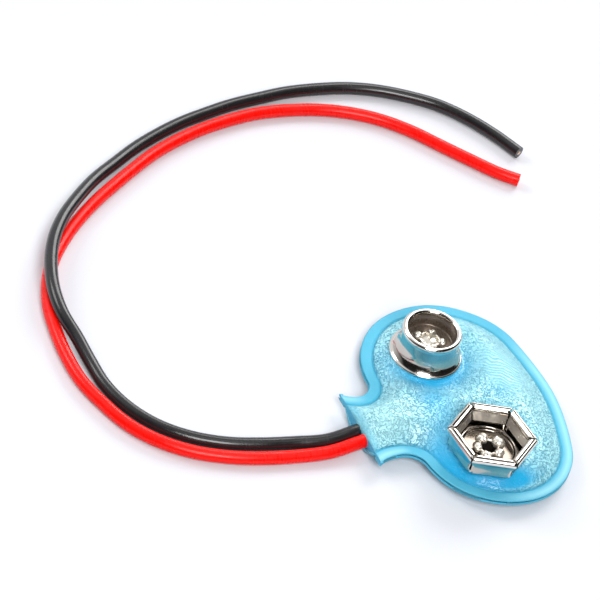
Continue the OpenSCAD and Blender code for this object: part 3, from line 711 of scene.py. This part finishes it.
# %% Store the painted shade and the dullness inside the socket
LEAF_SHADE, DISH_SHADE, BLACK_SHADE, LEAF_DULL = 0.62, 0.9, 2.0, 0.4
hex_reach = np.array([max(p[0] * math.cos(t) + p[1] * math.sin(t) for t in np.radians(range(0, 360, 60)))
                      for p in socket_points])
socket_reach, socket_z = reach_and_height(socket_points)

def between(values, low, high):
    return (values > low) & (values < high)

# Painted shade: brown on the leaves and the dish, a little on the outer wall, and black in the creases and
# on the band behind the slits.
socket_shade = LEAF_SHADE * cup_shade(hex_reach, socket_z, 3.12, 2.3)
socket_shade[(hex_reach > 3.25) & between(socket_z, LEDGE_Z, 1.9)] = 0.6 * WALL_SHADE
socket_shade[(socket_reach < 2.4) & (socket_z < 0.5)] = DISH_SHADE
socket_shade[between(hex_reach, 3.28, 3.4) & between(socket_z, 2.26, SOCKET_H - 0.1)] = BLACK_SHADE
band_start = len(socket_shells[0][0])
socket_shade[band_start:band_start + 6 * len(SLIT_SHADE_BAND)] = BLACK_SHADE
set_share(socket, "inside", socket_shade)
set_share(socket, "dull", np.where((hex_reach < 3.05) & between(socket_z, 0.9, 1.95), LEAF_DULL, 0.0))
print("black points in the creases:", int((socket_shade == BLACK_SHADE).sum()))

# %% [markdown]
# ## Rivets
# Each terminal is held by a hollow rivet. Its end is split by the setting tool and rolled outwards
# into a ring of lumps. Each lump is a short bent sausage with round ends, a little different in
# length and size from its neighbour, as the tool leaves them. The stud's rivet was crushed shut, so
# a low dome closes its throat.

# %% Roll the rivets
RIVET_R, RIVET_BORE, HEAD_R, SHEET_FLOOR = 1.0, 0.75, 1.8, 0.3
HEAD_LOW, HEAD_TOP = 0.66 - SEAT_Z, 0.96 - SEAT_Z
LUMP_SIDES, LUMP_STEPS, DOME_R, DOME_SIDES = 20, 17, 0.8, 32
STUD_LUMPS = [(143, 0.40, 0.70, 84), (232, 1.14, 0.48, 46), (54, 1.12, 0.48, 44),
              (300, 0.92, 0.36, 50), (352, 0.92, 0.36, 50)]
SOCKET_LUMPS = [(190, 1.02, 0.60, 66), (100, 1.06, 0.64, 68), (30, 1.16, 0.50, 52),
                (258, 1.04, 0.46, 54), (322, 1.06, 0.46, 56)]

def star_lump(heading, reach, size, sweep, foot):
    """A bent sausage with round ends at a heading in degrees, lying round the mouth of the rivet."""
    points = []
    for i in range(LUMP_STEPS):
        u = -1 + 2 * i / (LUMP_STEPS - 1)
        dented = 1 - 0.16 * math.exp(-((u - 0.25) / 0.22) ** 2)
        thick = size * dented * math.sqrt(max(1 - abs(u) ** 2.8, 0.02))
        a = math.radians(heading + u * sweep / 2)
        for k in range(LUMP_SIDES):
            b = 2 * math.pi * k / LUMP_SIDES
            out = reach + 0.95 * thick * math.cos(b)
            lift = 0.78 * thick * math.sin(b)
            points.append((out * math.cos(a), out * math.sin(a), foot + max(0.68 * size + lift, 0.0)))
    return points, row_faces(LUMP_STEPS, LUMP_SIDES) + end_caps(LUMP_STEPS, LUMP_SIDES)

def make_rivet(name, node, x, lumps, foot, crushed=False):
    throat = foot + 0.3
    profile = ([(RIVET_BORE, HEAD_LOW)] + arc_points(HEAD_R - 0.1, HEAD_LOW + 0.1, 0.1, -90, 0, 4)
               + arc_points(HEAD_R - 0.1, HEAD_TOP - 0.1, 0.1, 0, 90, 4)
               + [(RIVET_R, HEAD_TOP), (RIVET_R, throat)]
               + arc_points(0.88, throat + 0.02, 0.13, 40, 150, 5)
               + [(RIVET_BORE, throat - 0.1)])
    shells = [lathe(profile, 64)] + [star_lump(*lump, foot) for lump in lumps]
    if crushed:
        dome = [(DOME_R * math.cos(b), throat - 0.1 + 0.3 * math.sin(b)) for b in np.linspace(0, 1.5, 8)]
        shells.append(capped_lathe([(0.1, throat - 0.2), (DOME_R, throat - 0.2)] + dome, DOME_SIDES))
    points, faces = join_shells(shells)
    rivet = new_piece(name, raised_at(points, x), faces, "rivet", (node,), sharp_angle=60)
    reach, height = reach_and_height(points)
    # The throat of the rivet is painted brown as shade, less where the dome closes it.
    in_throat = (reach < 1.05) & (height < foot + 0.22)
    set_share(rivet, "inside", np.where(in_throat, 0.3 if crushed else 1.0, 0.0))
    return rivet

stud_rivet = make_rivet("stud_rolled_rivet", "stud_rivet", STUD_X, STUD_LUMPS, STUD_FLOOR + SHEET_FLOOR,
                        crushed=True)
socket_rivet = make_rivet("socket_rolled_rivet", "socket_rivet", SOCKET_X, SOCKET_LUMPS, SHEET_FLOOR)

# %% [markdown]
# ## Finishes
# Finishes are built from node groups that several materials share. A group is made once, with named
# inputs, and each material places it with its own values. Groups here only put out masks, colours and
# heights; every shader stays in the material itself. A small class keeps the lines short: it adds
# a node, and sets or joins each of its inputs.

# %% Helper for node trees
class Tree:
    """Short ways to add nodes to a tree and to join them."""
    def __init__(self, tree):
        self.nodes, self.links = tree.nodes, tree.links

    def feed(self, socket, value):
        """Set a socket to a number or colour, or join the output of another node to it."""
        if isinstance(value, (int, float, tuple)):
            socket.default_value = value
        else:
            self.links.new(value, socket)

    def feed_all(self, node, values):
        for label, value in values.items():
            self.feed(node.inputs[label.replace("_", " ")], value)
        return node

    def add(self, kind, **values):
        return self.feed_all(self.nodes.new(kind), values)

    def group(self, group, **values):
        node = self.nodes.new("ShaderNodeGroup")
        node.node_tree = group
        return self.feed_all(node, values).outputs

    def place(self):
        return self.nodes.new("ShaderNodeTexCoord").outputs["Object"]

    def stored(self, name):
        """A value that was stored on the points of the mesh."""
        node = self.nodes.new("ShaderNodeAttribute")
        node.attribute_name = name
        return node.outputs["Fac"]

    def math(self, kind, first, second=None):
        node = self.nodes.new("ShaderNodeMath")
        node.operation = kind
        self.feed(node.inputs[0], first)
        if second is not None:
            self.feed(node.inputs[1], second)
        return node.outputs[0]

    def times(self, first, second):
        return self.math("MULTIPLY", first, second)

    def along(self, vector, direction):
        """How far a vector reaches in a direction."""
        node = self.nodes.new("ShaderNodeVectorMath")
        node.operation = "DOT_PRODUCT"
        self.feed(node.inputs[0], vector)
        self.feed(node.inputs[1], tuple(direction))
        return node.outputs["Value"]

    def noise(self, vector, scale, detail, distortion=0.0):
        node = self.add("ShaderNodeTexNoise", Vector=vector, Scale=scale, Detail=detail,
                        Distortion=distortion)
        return node.outputs["Fac"]

    def remap(self, value, low, high, to_low, to_high):
        node = self.add("ShaderNodeMapRange", Value=value, From_Min=low, From_Max=high,
                        To_Min=to_low, To_Max=to_high)
        return node.outputs["Result"]

    def mix(self, share, first, second, kind="RGBA"):
        """A colour between two others or, with kind FLOAT, a number between two others."""
        node = self.nodes.new("ShaderNodeMix")
        node.data_type = kind
        *places, result = (0, 6, 7, 2) if kind == "RGBA" else (0, 2, 3, 0)
        for place, value in zip(places, (share, first, second)):
            self.feed(node.inputs[place], value)
        return node.outputs[result]

    def mix_shaders(self, share, first, second):
        node = self.add("ShaderNodeMixShader", Fac=share)
        self.links.new(first.outputs[0], node.inputs[1])
        self.links.new(second.outputs[0], node.inputs[2])
        return node.outputs[0]

    def bump(self, shader, height, strength, distance):
        node = self.add("ShaderNodeBump", Strength=strength, Distance=distance, Height=height)
        self.links.new(node.outputs["Normal"], shader["Normal"])

# %% [markdown]
# Two effects come back on nearly every surface: a slow drift of the tint, and the faint marks
# of handling, which change the gloss and leave a little height.

# %% Shared groups
def new_group(name, outputs, **inputs):
    """A node group, its tree, the sockets that its inputs come from and those that its outputs go to."""
    group = bpy.data.node_groups.new(name, "ShaderNodeTree")
    for label, value in inputs.items():
        kind = "NodeSocketColor" if isinstance(value, tuple) else "NodeSocketFloat"
        socket = group.interface.new_socket(label.replace("_", " "), in_out="INPUT", socket_type=kind)
        socket.default_value = value
    for label, kind in outputs:
        group.interface.new_socket(label, in_out="OUTPUT", socket_type=kind)
    inp, out = group.nodes.new("NodeGroupInput"), group.nodes.new("NodeGroupOutput")
    return group, Tree(group), inp.outputs, out.inputs

def build_tint_drift():
    group, tree, inp, out = new_group(
        "tint drift", [("Colour", "NodeSocketColor")],
        Colour=(0.5, 0.5, 0.5, 1), Other_Colour=(0.4, 0.4, 0.4, 1), Scale=200.0, Contrast=1.0)
    slow = tree.noise(tree.place(), inp["Scale"], 3.0)
    spread = tree.times(tree.math("SUBTRACT", slow, 0.5), inp["Contrast"])
    share_out = tree.remap(tree.math("ADD", spread, 0.5), 0.0, 1.0, 0.0, 1.0)
    tree.feed(out["Colour"], tree.mix(share_out, inp["Colour"], inp["Other Colour"]))
    return group

def build_handling_marks():
    group, tree, inp, out = new_group(
        "handling marks", [("Roughness", "NodeSocketFloat"), ("Height", "NodeSocketFloat")],
        Scale=1500.0, Smooth=0.2, Rough=0.4)
    place = tree.place()
    patches = tree.noise(place, inp["Scale"], 4.0)
    stretch = tree.add("ShaderNodeMapping", Vector=place, Rotation=(0.2, 0.3, 0.9), Scale=(1.0, 7.0, 1.6))
    scratches = tree.noise(stretch.outputs["Vector"], inp["Scale"], 2.0)
    both = tree.math("ADD", tree.times(patches, 0.6), tree.times(scratches, 0.4))
    tree.feed(out["Roughness"], tree.remap(both, 0.35, 0.65, inp["Smooth"], inp["Rough"]))
    tree.feed(out["Height"], both)
    return group

TINT_DRIFT = build_tint_drift()
HANDLING_MARKS = build_handling_marks()
print("shared groups:", TINT_DRIFT.name, "and", HANDLING_MARKS.name)

# %% Helpers that start a material and put it on a piece
def new_finish(name, **constants):
    """A material, its tree and the inputs of its shader, with constants set on the shader itself."""
    finish = bpy.data.materials.new(name)
    finish.use_nodes = True
    tree = Tree(finish.node_tree)
    shader = tree.nodes["Principled BSDF"]
    tree.feed_all(shader, constants)
    return finish, tree, shader.inputs

def dress(finish, *pieces):
    for piece in pieces:
        piece.data.materials.clear()
        piece.data.materials.append(finish)
    print(finish.name, "is on", ", ".join(piece.name for piece in pieces))

# %% [markdown]
# ### Blue vinyl
# The sheet is a bright sky blue, embossed with winding ridges as fine as sand, which break the gloss
# into small glints; the crests of the ridges are also painted pale as glints and the grooves painted
# dark as shade. Beside the stud the ridges turn into ripples. A deeper blue is painted shade in the
# hollows round the terminals, a paler blue is painted sheen over the leads and along the back rim, and
# the seam groove is painted darker as shade. A painted image could hold all this, but the places were
# stored on the points of the mesh, so nodes only have to mix a few blues.

# %% Mix the vinyl
SKY_BLUE = (0.060, 0.415, 0.610, 1)
PALE_BLUE = (0.095, 0.460, 0.640, 1)
# The deep blue is painted shade, the groove blue is painted shade in the grooves and the seam, and the
# crest blue is painted glints and sheen.
SHADE_BLUE = (0.001, 0.420, 0.780, 1)
GROOVE_SHADE_BLUE = (0.025, 0.335, 0.510, 1)
GLINT_BLUE = (0.495, 0.905, 0.955, 1)
GRAIN_GLINT_TINT, SHEEN_TINT, HOLLOW_SHADE_TINT, SEAM_SHADE_TINT = 0.85, 0.68, 0.95, 0.85
GRAIN_SCALE, GROOVE_WIDTH, GRAIN_DEPTH = 3300.0, 0.064, 0.00008
RIPPLE_PITCH = 0.00037
RIPPLE_ACROSS = (0.8, -0.6, 0.0)

def maze_height(tree, place):
    """Winding ridges with thin grooves between them, 0 in a groove and 1 on a ridge."""
    level = tree.math("SUBTRACT", tree.noise(place, GRAIN_SCALE, 1.0, 0.7), 0.5)
    return tree.remap(tree.math("ABSOLUTE", level), 0.0, GROOVE_WIDTH, 0.0, 1.0)

def ripple_height(tree, place):
    """Fine ripples that run out from the stud and wander a little."""
    turns = tree.times(tree.along(place, RIPPLE_ACROSS), 2 * math.pi / RIPPLE_PITCH)
    wander = tree.times(tree.noise(place, 640.0, 3.0), 19.0)
    wave = tree.math("SINE", tree.math("ADD", turns, wander))
    return tree.remap(wave, -1.0, 0.6, 0.38, 1.0)

def vinyl_finish():
    finish, tree, shader = new_finish("blue vinyl", Specular_IOR_Level=0.4, IOR=1.5)
    drift = tree.group(TINT_DRIFT, Colour=SKY_BLUE, Other_Colour=PALE_BLUE, Scale=260.0, Contrast=1.6)
    place, grain, hollow = tree.place(), tree.stored("grain"), tree.stored("hollow")
    maze, ripples = maze_height(tree, place), ripple_height(tree, place)
    pattern = tree.mix(tree.stored("ripple"), maze, ripples, "FLOAT")
    # The grain pattern is real, but its crests are painted pale as glints and its grooves dark as shade.
    grain_glint_shade = tree.mix(pattern, GROOVE_SHADE_BLUE, GLINT_BLUE)
    tint = tree.mix(tree.times(grain, GRAIN_GLINT_TINT), drift["Colour"], grain_glint_shade)
    # Painted sheen: a paler blue over the leads, near the terminals and along the back rim.
    tint = tree.mix(tree.times(tree.stored("drawn"), SHEEN_TINT), tint, GLINT_BLUE)
    # Painted shade: a deeper blue in the hollows and on one side of each terminal.
    tint = tree.mix(tree.times(hollow, HOLLOW_SHADE_TINT), tint, SHADE_BLUE)
    # Painted shade along the seam groove.
    tint = tree.mix(tree.times(tree.stored("seam"), SEAM_SHADE_TINT), tint, GROOVE_SHADE_BLUE)
    tree.feed(shader["Base Color"], tint)
    gloss = tree.remap(pattern, 0.0, 1.0, 0.40, 0.24)
    pressed = tree.remap(grain, 0.0, 1.0, 0.34, 0.0)
    tree.feed(shader["Roughness"], tree.math("ADD", gloss, pressed))
    depth = tree.times(grain, tree.remap(hollow, 0.3, 1.0, 1.0, 0.25))
    tree.bump(shader, tree.times(pattern, depth), 1.0, GRAIN_DEPTH)
    return finish

dress(vinyl_finish(), vinyl_top, vinyl_bottom)

# %% [markdown]
# ### Plated metal
# The terminals are nickel plated: nearly mirror bright, slightly warm, with faint scuffs. Inside the
# cups and on the springs the plating is duller and painted brown as shade, the outer walls get a little
# of that painted shade, and the creases and the band behind the slits are painted black as shade. The
# rivets are a duller plated brass, and the tags and strands inside are bare brass and tinned copper.
# One recipe serves all of them; only the nickel and the rivets follow what their points have stored.

# %% Mix the metals
# Brown is painted shade inside the cups and rivet throats, and black is painted shade in the creases and
# behind the slits.
CUP_SHADE_BROWN = (0.15, 0.117, 0.090, 1)
CREASE_SHADE_BLACK = (0.012, 0.011, 0.010, 1)
SCUFF_DEPTH = 0.00003

def metal_finish(name, colour, other, smooth, rough, bump, metallic=1.0, shaded=False, dulled=False):
    """A metal; shaded and dulled ones follow what was stored on the points of their pieces."""
    finish, tree, shader = new_finish(name, Metallic=metallic)
    drift = tree.group(TINT_DRIFT, Colour=colour, Other_Colour=other, Scale=500.0, Contrast=1.5)
    marks = tree.group(HANDLING_MARKS, Scale=1400.0, Smooth=smooth, Rough=rough)
    tint, gloss = drift["Colour"], marks["Roughness"]
    if shaded:
        # The stored inside share is painted shade: brown up to 1, black from 1 to 2.
        inside = tree.stored("inside")
        shade_browned = tree.mix(inside, tint, CUP_SHADE_BROWN)
        tint = tree.mix(tree.remap(inside, 1.0, 2.0, 0.0, 1.0), shade_browned, CREASE_SHADE_BLACK)
    if dulled:
        dull = tree.stored("dull")
        gloss = tree.math("ADD", gloss, tree.times(dull, 0.3))
        tree.feed(shader["Metallic"], tree.remap(dull, 0.0, 1.0, 1.0, 0.0))
    tree.feed(shader["Base Color"], tint)
    tree.feed(shader["Roughness"], gloss)
    tree.bump(shader, marks["Height"], bump, SCUFF_DEPTH)
    return finish

NICKEL = metal_finish("bright nickel plate", (0.80, 0.77, 0.72, 1), (0.74, 0.70, 0.64, 1), 0.09, 0.17, 0.12,
                      shaded=True, dulled=True)
RIVET_METAL = metal_finish("plated rivet", (0.80, 0.77, 0.70, 1), (0.72, 0.67, 0.59, 1), 0.236, 0.376, 0.12,
                           metallic=0.88, shaded=True)
TAG_BRASS = metal_finish("bare brass", (0.80, 0.58, 0.24, 1), (0.66, 0.44, 0.17, 1), 0.22, 0.4, 0.2)
STRAND_METAL = metal_finish("tinned copper", (0.78, 0.52, 0.36, 1), (0.80, 0.66, 0.52, 1), 0.2, 0.38, 0.2)
SOLDER_METAL = metal_finish("solder", (0.62, 0.62, 0.62, 1), (0.52, 0.53, 0.55, 1), 0.18, 0.36, 0.25)
dress(NICKEL, stud, socket)
dress(RIVET_METAL, stud_rivet, socket_rivet)
dress(STRAND_METAL, black_cut, red_cut)

# %% [markdown]
# ### Insulation and board
# The leads wear soft extruded insulation with a wet gloss and the faint streaks of the die. The
# board between the skins is pressed fibre, matt and speckled. It is hidden, but a part that may be
# opened should still look right inside.

# %% Mix the insulation and the board
def plain_finish(name, colours, drift, marks, bump, **constants):
    """Two colours, scale and contrast of the drift, scale and ends of the roughness, and the bump."""
    finish, tree, shader = new_finish(name, **constants)
    tint = tree.group(TINT_DRIFT, Colour=colours[0], Other_Colour=colours[1],
                      Scale=drift[0], Contrast=drift[1])
    worn = tree.group(HANDLING_MARKS, Scale=marks[0], Smooth=marks[1], Rough=marks[2])
    tree.feed(shader["Base Color"], tint["Colour"])
    tree.feed(shader["Roughness"], worn["Roughness"])
    tree.bump(shader, worn["Height"], *bump)
    return finish

BLACKS = ((0.011, 0.011, 0.012, 1), (0.018, 0.018, 0.020, 1))
REDS = ((0.96, 0.006, 0.002, 1), (0.90, 0.005, 0.002, 1))
BROWNS = ((0.23, 0.11, 0.05, 1), (0.34, 0.18, 0.09, 1))
DIE_DRIFT, DIE_STREAKS = (300.0, 1.4), (0.15, 0.00004)
dress(plain_finish("black insulation", BLACKS, DIE_DRIFT, (700.0, 0.16, 0.30), DIE_STREAKS,
                   IOR=1.5, Specular_IOR_Level=0.5), black_lead)
dress(plain_finish("red insulation", REDS, DIE_DRIFT, (700.0, 0.22, 0.36), DIE_STREAKS,
                   IOR=1.5, Specular_IOR_Level=0.25), red_lead)
FIBRE = plain_finish("pressed fibre", BROWNS, (2200.0, 2.2), (2600.0, 0.7, 0.9), (0.4, 0.00006))

INNER_FINISH = {"insulator_board": FIBRE, "stud_tag": TAG_BRASS, "socket_tag": TAG_BRASS,
                "black_strands": STRAND_METAL, "red_strands": STRAND_METAL,
                "black_solder": SOLDER_METAL, "red_solder": SOLDER_METAL}
for node_name, finish in INNER_FINISH.items():
    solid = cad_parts[node_name]
    if not solid.material_slots:
        solid.data.materials.append(finish)
    for slot in solid.material_slots:
        slot.material = finish
print("solids kept with a new finish:", len(INNER_FINISH))

# %% [markdown]
# ## Floor and light
# The floor is white paper. A small part of it shines by itself, only for what the camera and the
# metal see, and the rest takes real light, so it reads as white yet keeps the soft shadow. The lamps
# are large soft boxes: one beyond the cover for the sheen on the vinyl, one in front for the terminals
# and two weak ones that fill. The room is bright on one side and dark on the other, because
# bright metal only looks like metal when it has something dark to show.

# %% Lay the floor
FLOOR_HALF, FLOOR_Z, FLOOR_GLOW = 0.75, -2e-5, 0.06
PAPER = (0.715, 0.73, 0.775, 1)

def make_floor():
    corners = [(x * FLOOR_HALF, y * FLOOR_HALF, FLOOR_Z) for x, y in ((-1, -1), (1, -1), (1, 1), (-1, 1))]
    mesh = bpy.data.meshes.new("paper_floor")
    mesh.from_pydata(corners, [], [(0, 1, 2, 3)])
    paper = bpy.data.objects.new("paper_floor", mesh)
    bpy.context.scene.collection.objects.link(paper)
    finish = bpy.data.materials.new("white paper")
    finish.use_nodes = True
    tree = Tree(finish.node_tree)
    tree.nodes.clear()
    matt = tree.add("ShaderNodeBsdfDiffuse", Color=PAPER)
    glow = tree.add("ShaderNodeEmission", Strength=1.0)
    ray = tree.nodes.new("ShaderNodeLightPath").outputs
    seen = tree.math("MAXIMUM", ray["Is Camera Ray"], ray["Is Glossy Ray"])
    seen = tree.math("MAXIMUM", seen, ray["Is Transmission Ray"])
    tree.add("ShaderNodeOutputMaterial", Surface=tree.mix_shaders(tree.times(seen, FLOOR_GLOW), matt, glow))
    mesh.materials.append(finish)
    print("floor of", 2 * FLOOR_HALF, "m")

make_floor()

# %% Hang the lamps
AWAY = Vector((-math.sin(AZIMUTH), math.cos(AZIMUTH), 0))
LEVEL_RIGHT = Vector((math.cos(AZIMUTH), math.sin(AZIMUTH), 0))
COVER_MIDDLE = Vector((0, 0, 2 * MM))

def soft_box(name, across, ahead, high, size, power, colour=(1, 1, 1)):
    """A square lamp, placed to the right of, beyond and above the cover, in metres."""
    data = bpy.data.lights.new(name, "AREA")
    data.shape = "SQUARE"
    data.size = size
    data.energy = power
    data.color = colour
    lamp = bpy.data.objects.new(name, data)
    bpy.context.scene.collection.objects.link(lamp)
    place = COVER_MIDDLE + LEVEL_RIGHT * across + AWAY * ahead + Vector((0, 0, high))
    lamp.location = place
    lamp.rotation_euler = (COVER_MIDDLE - place).to_track_quat("-Z", "Y").to_euler()
    print(name, "of", power, "W")

soft_box("sheen_box", 0.14, 0.48, 0.38, 0.34, 2.1, (1.0, 1.0, 0.99))
soft_box("left_box", -0.42, 0.10, 0.34, 0.20, 0.7, (1.0, 0.99, 0.97))
soft_box("top_box", 0.10, -0.05, 0.60, 0.26, 0.3)
soft_box("front_box", 0.10, -0.36, 0.42, 0.26, 2.6)

# %% Light the room
ROOM_STRENGTH = 0.85
BRIGHT_SIDE = (AWAY * 0.70 - LEVEL_RIGHT * 0.46 + Vector((0, 0, 0.55))).normalized()
DARK, GREY, BRIGHT = (0.02, 0.019, 0.018, 1), (0.50, 0.50, 0.50, 1), (0.97, 0.98, 1.0, 1)

def light_room():
    world = bpy.data.worlds.new("studio")
    bpy.context.scene.world = world
    world.use_nodes = True
    tree = Tree(world.node_tree)
    tree.nodes.clear()
    direction = tree.nodes.new("ShaderNodeTexCoord").outputs["Generated"]
    band = tree.add("ShaderNodeValToRGB", Fac=tree.along(direction, BRIGHT_SIDE))
    first, last = band.color_ramp.elements
    first.position, first.color = 0.28, DARK
    last.position, last.color = 0.76, BRIGHT
    band.color_ramp.elements.new(0.55).color = GREY
    room = tree.add("ShaderNodeBackground", Color=band.outputs["Color"], Strength=ROOM_STRENGTH)
    white = tree.add("ShaderNodeBackground", Color=(1, 1, 1, 1))
    seen = tree.nodes.new("ShaderNodeLightPath").outputs["Is Camera Ray"]
    tree.add("ShaderNodeOutputWorld", Surface=tree.mix_shaders(seen, room, white))
    print("room of strength", ROOM_STRENGTH)

light_room()
bpy.context.scene.view_settings.view_transform = "Standard"

# %% [markdown]
# ## Update the scene

# %% Update the view layer
bpy.context.view_layer.update()
